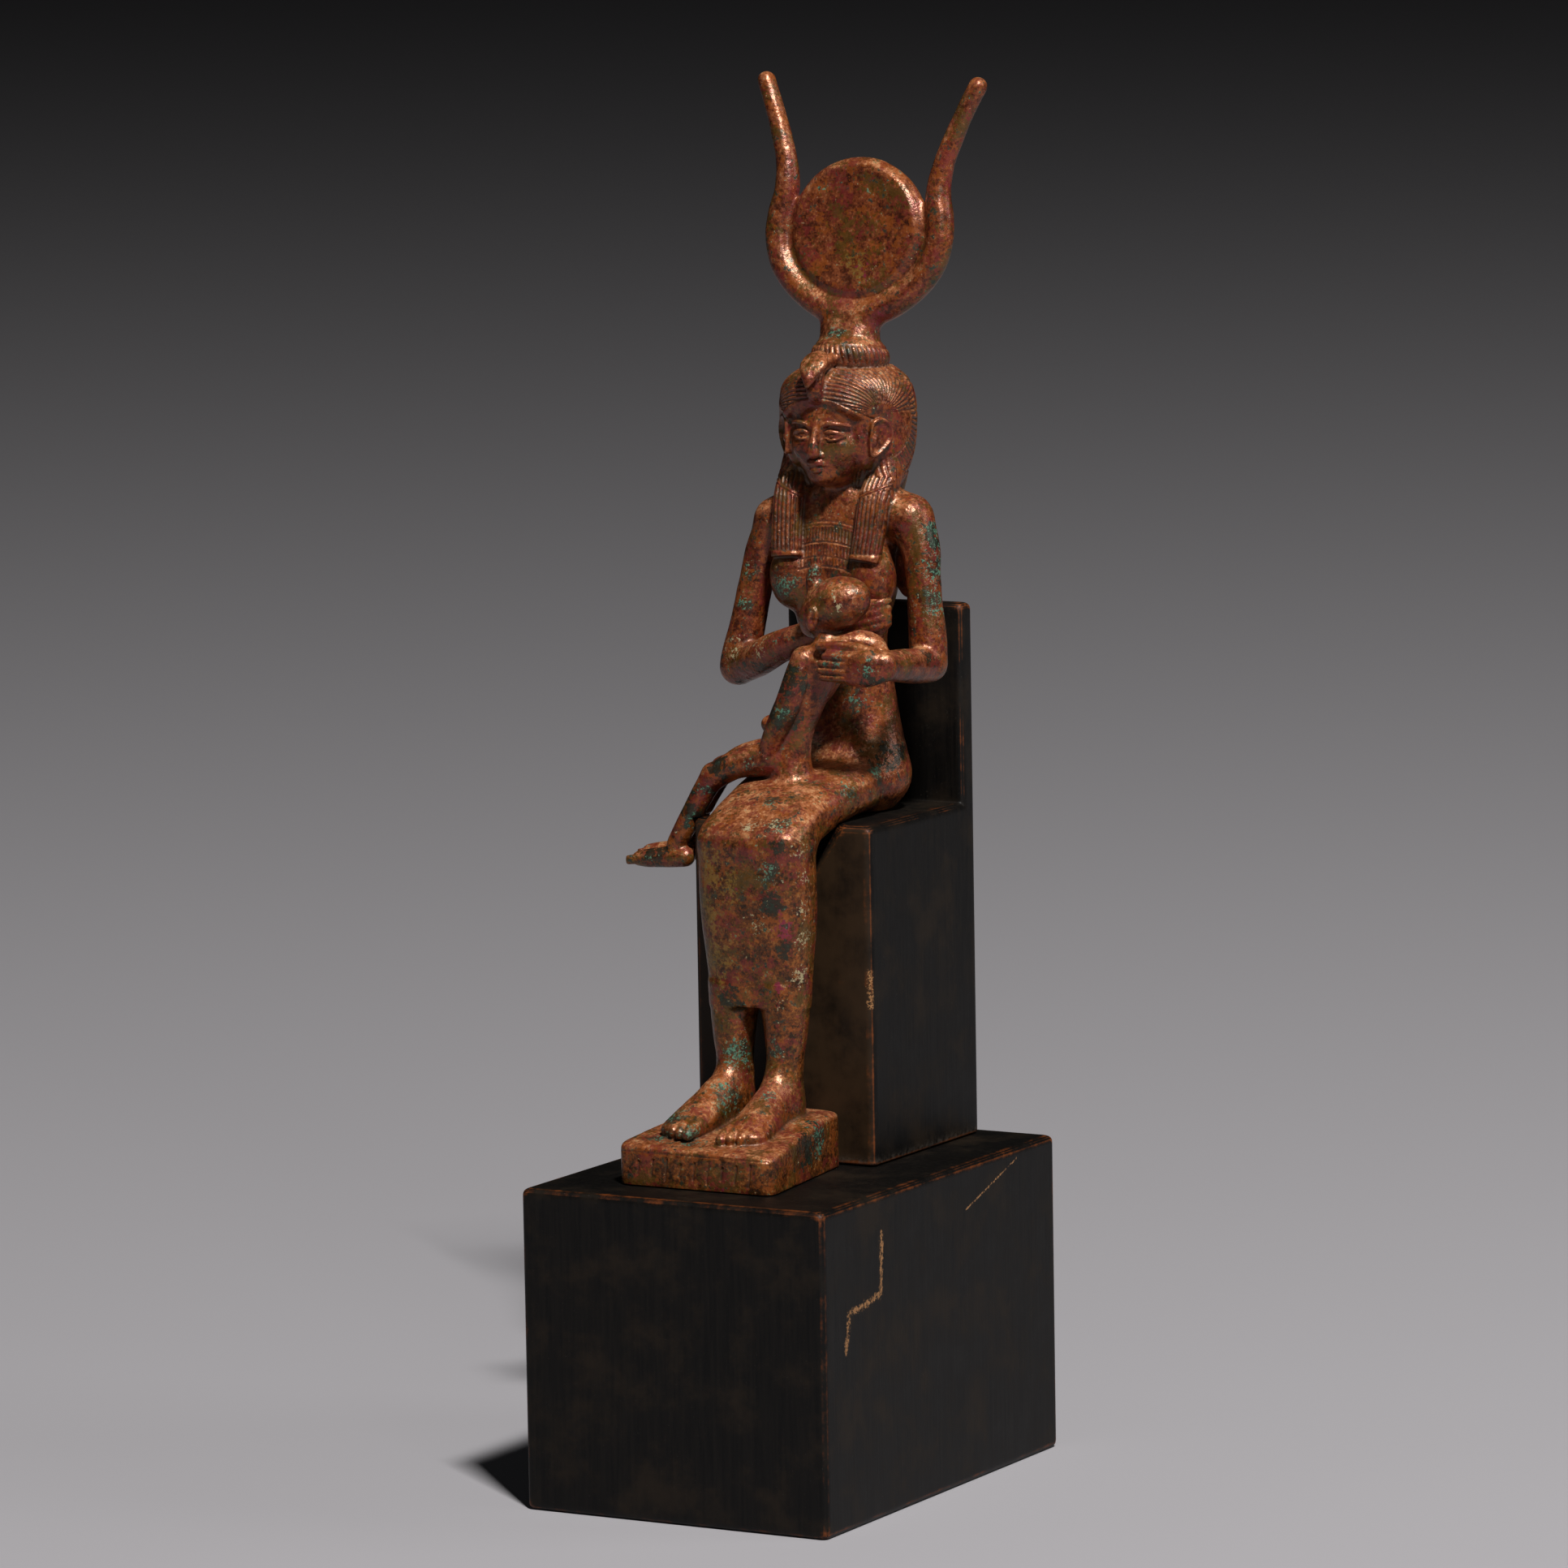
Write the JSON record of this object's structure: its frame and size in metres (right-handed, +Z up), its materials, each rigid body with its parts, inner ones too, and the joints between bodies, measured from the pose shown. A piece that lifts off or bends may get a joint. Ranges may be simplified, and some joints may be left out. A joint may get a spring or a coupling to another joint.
{
  "type": "isis and horus figure",
  "caption": "Seated bronze goddess nursing a child on her lap, crowned with horns and a disc, on a dark wooden throne and block base.",
  "frame": {"origin": "centre of the wooden base's underside", "axes": "+Z up, -Y the way the goddess faces, +X to her left"},
  "size_m": [0.0966, 0.1334, 0.3834],
  "materials": {
    "bronze": "red-brown patinated cast bronze with green specks",
    "ebonised_wood": "near-black ebonised wood, worn orange-brown at the edges"
  },
  "bodies": {
    "root": {"bronze_figure": "bronze", "wooden_throne": "ebonised_wood", "wooden_base": "ebonised_wood"}
  },
  "joints": []
}
